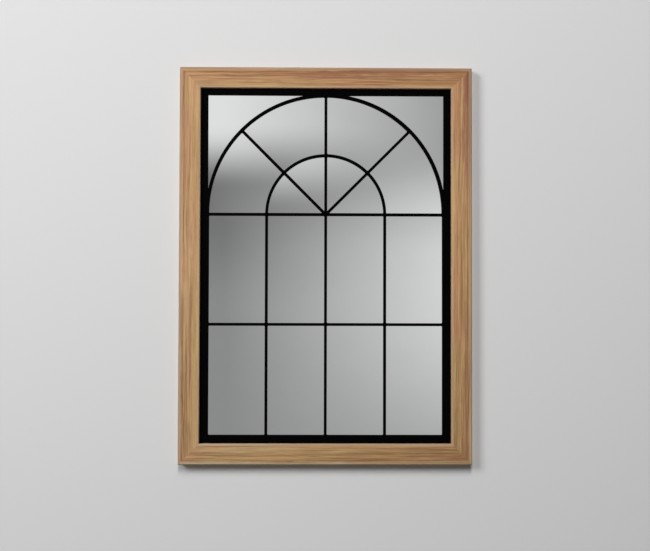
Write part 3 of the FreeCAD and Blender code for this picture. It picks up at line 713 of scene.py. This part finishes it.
hardboard, tree, shader = finish("brown_hardboard", Specular_IOR_Level=0.2)
where = spot_on_piece(tree)
fibres = mottle(tree, where, (700.0, 700.0, 700.0), 0.0, 4.0)
blotch = mottle(tree, where, (18.0, 18.0, 18.0), 2.0, 3.0)
flake = fade(tree, mottle(tree, where, (240.0, 240.0, 240.0), 6.0, 1.0), 0.66, 0.74)
colour = stain(tree, blotch, tone(112, 82, 56), tone(140, 105, 74))
colour = stain(tree, fade(tree, fibres, 0.4, 0.7, 0.0, 0.5), colour, tone(88, 62, 42))
colour = stain(tree, reckon(tree, "MULTIPLY", flake, 0.35), colour, tone(172, 138, 102))
coat(tree, shader, colour, fade(tree, fibres, 0.3, 0.7, 0.7, 0.88))
# The rough side keeps the mark of the wire screen that the board was pressed on.
screen_wave = 3600.0
axes = place(tree, "ShaderNodeSeparateXYZ", {0: where}).outputs
wires = [reckon(tree, "SINE", reckon(tree, "MULTIPLY", axes[way], screen_wave)) for way in ("X", "Z")]
screen = reckon(tree, "ADD", *wires)
roughen(tree, shader, reckon(tree, "MULTIPLY_ADD", screen, 0.2, fibres), 0.35, 0.0002)
nodes["backing_board"].data.materials[0] = hardboard


# Turn buttons, hangers and rings
# Pressed steel strips that swivel on a screw to hold the board, and folded straps with a
# loose wire ring on each stile to hang the frame by. All are zinc plated.
for name, node in nodes.items():
    if name.startswith(("turn_button", "hanger_strap", "d_ring")):
        node.data.materials[0] = zinc


# Screws
# Round headed steel screws with a cross recess, driven into the back of the wood through the
# turn buttons and the straps. Each was left turned as it happened to come tight.
head_radius = 0.0034
head_height = 0.0020
head_ease = 0.0001
rim_height = 0.0008
crown_width = 0.0012
crown_rise = 0.0009
screw_length = 0.0140
shank_radius = 0.0015
taper_depth = 0.0105
point_radius = 0.0004
point_length = 0.0006


def turned_solid(name, profile, around=40):
    """A solid turned about Y from the radius and height of each step of its profile"""
    form = bmesh.new()
    rings = []
    for radius, height in profile:
        if radius == 0:
            rings.append([form.verts.new((0, height, 0))] * around)
            continue
        ring = []
        for step in range(around):
            angle = 2 * math.pi * step / around
            ring.append(form.verts.new((radius * math.cos(angle), height, radius * math.sin(angle))))
        rings.append(ring)
    for lower, upper in zip(rings, rings[1:]):
        for step in range(around):
            corners = [lower[step], lower[step - 1], upper[step - 1], upper[step]]
            form.faces.new(sorted(set(corners), key=corners.index))
    return closed_piece(name, form)


def cross_punch(name, arm, width, depth, top, overshoot=0.001, tip_share=0.45):
    """The tapered cross of a driver's tip, pointing into the head"""
    form = bmesh.new()
    outline = []
    quarter_cross = ((width, 0, width), (arm, 0, width), (arm, 0, -width))
    for quarter in range(4):
        turn = Matrix.Rotation(math.radians(90 * quarter), 3, "Y")
        outline += [turn @ Vector(spot) for spot in quarter_cross]
    for height, share in ((top + overshoot, 1.0), (top - depth, tip_share)):
        for spot in outline:
            form.verts.new((spot.x * share, height, spot.z * share))
    form.verts.ensure_lookup_table()
    count = len(outline)
    form.faces.new(form.verts[:count])
    form.faces.new(form.verts[count:])
    for step in range(count):
        after = (step + 1) % count
        form.faces.new([form.verts[i] for i in (step, after, count + after, count + step)])
    return closed_piece(name, form)


screw_profile = [
    (0, -screw_length), (point_radius, -screw_length + point_length),
    (shank_radius, -taper_depth), (shank_radius, 0),
    (head_radius - head_ease, 0), (head_radius, head_ease), (head_radius, rim_height),
]
for degrees in range(84, 0, -12):
    across = math.sin(math.radians(degrees))
    up = math.cos(math.radians(degrees))
    radius = head_radius - crown_width + crown_width * across
    screw_profile.append((radius, rim_height + crown_rise * up))
screw_profile += [(crown_width, head_height - head_ease), (0, head_height)]
one_screw = turned_solid("one_screw", screw_profile)
driver_tip = cross_punch("driver_tip", arm=0.0018, width=0.00045, depth=0.0011, top=head_height)
recess = one_screw.modifiers.new("recess", "BOOLEAN")
recess.object = driver_tip
recess.operation = "DIFFERENCE"
recess.solver = "EXACT"
cut_screw = one_screw.evaluated_get(bpy.context.evaluated_depsgraph_get())
cut_mesh = bpy.data.meshes.new_from_object(cut_screw)
one_screw.modifiers.remove(recess)
one_screw.data = cut_mesh
bpy.data.objects.remove(driver_tip)

driven_screws, size, result = shape_rule("driven_screws", {
    "Screw": "Object", "Seed": "Int", "Plating": "Material"})
tree = driven_screws
screw = place(tree, "GeometryNodeObjectInfo", {"Object": size["Screw"]}).outputs["Geometry"]
screw = shade_by_fold(tree, screw, 32)
inputs = {2: 0.0, 3: 2 * math.pi, "Seed": size["Seed"]}
turn = place(tree, "FunctionNodeRandomValue", inputs, data_type="FLOAT").outputs[1]
turn = place(tree, "ShaderNodeCombineXYZ", {1: turn}).outputs[0]
turn = place(tree, "FunctionNodeEulerToRotation", {0: turn}).outputs[0]
inputs = {"Points": size["Plan"], "Instance": screw, "Rotation": turn}
screws = place(tree, "GeometryNodeInstanceOnPoints", inputs).outputs[0]
end_rule(tree, screws, size["Plating"], result)

swivels = {joint["child"]: joint["pos_m"] for joint in frame["joints"]}
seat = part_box("turn_button_screws")[1].y - head_height
button_spots = [(spot[0], seat, spot[2]) for child, spot in swivels.items()
                if child.startswith("turn_button")]
strap_low, strap_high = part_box("hanger_screws")
strap_heights = (strap_low.z + head_radius, strap_high.z - head_radius)
strap_spots = [(swivels[ring][0], strap_high.y - head_height, height)
               for ring in ("d_ring_left", "d_ring_right") for height in strap_heights]
for name, spots, seed in (("turn_button_screws", button_spots, 3), ("hanger_screws", strap_spots, 8)):
    driven = make_by_rule(name + "_driven", driven_screws, spots, [],
                          {"Screw": one_screw, "Seed": seed, "Plating": zinc})
    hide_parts(name)
    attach(driven, "frame")
bpy.data.objects.remove(one_screw)


# Studio
# A pale wall behind the frame and a pale floor far below it, with large soft lamps high in
# front. A wide soft card behind the camera is all that the mirror has to show. The wall is
# clear from behind, where dimmer lamps light the back for views from there.
def sheet_object(name, corners):
    """One flat sheet of the studio"""
    mesh = bpy.data.meshes.new(name)
    mesh.from_pydata(corners, [], [(0, 1, 2, 3)])
    made = bpy.data.objects.new(name, mesh)
    bpy.context.scene.collection.objects.link(made)
    return made


def seen_by_eye(tree):
    """1 for what is seen, straight or in metal and glass, and 0 for what gives light"""
    path = place(tree, "ShaderNodeLightPath").outputs
    seen = reckon(tree, "MAXIMUM", path["Is Camera Ray"], path["Is Glossy Ray"])
    return reckon(tree, "MAXIMUM", seen, path["Is Transmission Ray"])


floor_z = -1.67
wall_y = 0.0005
wall = sheet_object("wall", [(-6, wall_y, floor_z), (6, wall_y, floor_z), (6, wall_y, 4), (-6, wall_y, 4)])
wall.visible_diffuse = False
wall.visible_glossy = False
wall.visible_shadow = False
pale_grey = (0.70, 0.70, 0.70, 1)
plaster, tree, shader = finish("pale_plaster", Base_Color=pale_grey, Roughness=0.9, Specular_IOR_Level=0.0)
behind = place(tree, "ShaderNodeNewGeometry").outputs["Backfacing"]
clear = place(tree, "ShaderNodeBsdfTransparent").outputs[0]
shown = place(tree, "ShaderNodeMixShader", {0: behind, 1: shader.outputs[0], 2: clear}).outputs[0]
tree.links.new(shown, tree.nodes["Material Output"].inputs["Surface"])
wall.data.materials.append(plaster)

corners = [(x, y, floor_z) for x, y in ((-40, -40), (40, -40), (40, 40), (-40, 40))]
floor = sheet_object("floor", corners)
floor.visible_diffuse = False
floor_grey = (0.62, 0.62, 0.62, 1)
pale_floor, tree, shader = finish("pale_floor", Base_Color=floor_grey, Roughness=0.8, Specular_IOR_Level=0.1)
bright = place(tree, "ShaderNodeEmission", {"Strength": 0.66}).outputs[0]
seen = reckon(tree, "MULTIPLY", seen_by_eye(tree), 0.8)
shown = place(tree, "ShaderNodeMixShader", {0: seen, 1: shader.outputs[0], 2: bright}).outputs[0]
tree.links.new(shown, tree.nodes["Material Output"].inputs["Surface"])
floor.data.materials.append(pale_floor)

card_y = -4.5
corners = [(x, card_y, z) for x, z in ((-5, -4), (-5, 4.5), (5, 4.5), (5, -4))]
soft_card = sheet_object("soft_card", corners)
soft_card.visible_camera = False
soft_card.visible_diffuse = False
soft_card.visible_transmission = False
soft_card.visible_shadow = False
glow, tree, shader = finish("soft_card")
tree.nodes.remove(shader)
axes = place(tree, "ShaderNodeSeparateXYZ", {0: spot_on_piece(tree)}).outputs
up = axes["Z"]
left_top = fade(tree, up, 0.32, 0.64, 0.2, 0.85)
left_side = reckon(tree, "ADD", left_top, fade(tree, up, 0.25, -0.35, 0.0, 0.096))
right_middle = reckon(tree, "MULTIPLY", fade(tree, up, 0.637, 0.008), fade(tree, up, -1.7, -0.11))
right_side = reckon(tree, "MULTIPLY_ADD", right_middle, 0.46, 0.34)
share = reckon(tree, "MULTIPLY_ADD", axes["X"], 0.712, 0.356)
share = place(tree, "ShaderNodeClamp", {0: share}).outputs[0]
level = place(tree, "ShaderNodeMix", {0: share, 2: left_side, 3: right_side}).outputs[0]
light = place(tree, "ShaderNodeEmission", {"Strength": level}).outputs[0]
tree.links.new(light, tree.nodes["Material Output"].inputs["Surface"])
soft_card.data.materials.append(glow)


frame_centre = (cad_low + cad_high) / 2


def soft_lamp(name, spot, size, power, in_gloss=True):
    """A large flat lamp aimed at the middle of the frame"""
    lamp = bpy.data.lights.new(name, "AREA")
    lamp.shape = "RECTANGLE"
    lamp.size, lamp.size_y = size
    lamp.energy = power
    made = bpy.data.objects.new(name, lamp)
    made.location = spot
    made.rotation_mode = "QUATERNION"
    made.rotation_quaternion = (frame_centre - Vector(spot)).to_track_quat("-Z", "Y")
    made.visible_glossy = in_gloss
    bpy.context.scene.collection.objects.link(made)


soft_lamp("key", (-2.6, -3.2, 1.2), (1.5, 1.7), 98)
soft_lamp("front", (0.0, -4.1, 2.3), (0.6, 2.2), 126, in_gloss=False)
soft_lamp("rear_left", (-1.6, 2.4, 1.0), (1.4, 1.4), 25, in_gloss=False)
soft_lamp("rear_right", (1.6, 2.4, 1.0), (1.4, 1.4), 25, in_gloss=False)
soft_lamp("rear_strip", (0.0, 2.6, -0.22), (6.0, 0.75), 35)

world = bpy.data.worlds.new("studio")
world.use_nodes = True
bpy.context.scene.world = world
tree = world.node_tree
sky = tree.nodes["Background"]
sky.inputs["Color"].default_value = (1, 1, 1, 1)
tree.links.new(fade(tree, seen_by_eye(tree), 0.0, 1.0, 0.085, 0.72), sky.inputs["Strength"])


# Camera
# It stands a little left of the frame and a little below its middle, about 2.3 m away, and
# looks almost straight at the wall.
lens = bpy.data.cameras.new("camera")
lens.sensor_fit = "HORIZONTAL"
lens.sensor_width = 36
lens.lens = 63.69
camera = bpy.data.objects.new("camera", lens)
camera.location = (-0.0331, -2.3383, -0.3063)
camera.rotation_euler = [math.radians(angle) for angle in (91.627, -0.142, -0.792)]
bpy.context.scene.collection.objects.link(camera)
bpy.context.scene.camera = camera
bpy.context.scene.view_settings.view_transform = "Standard"
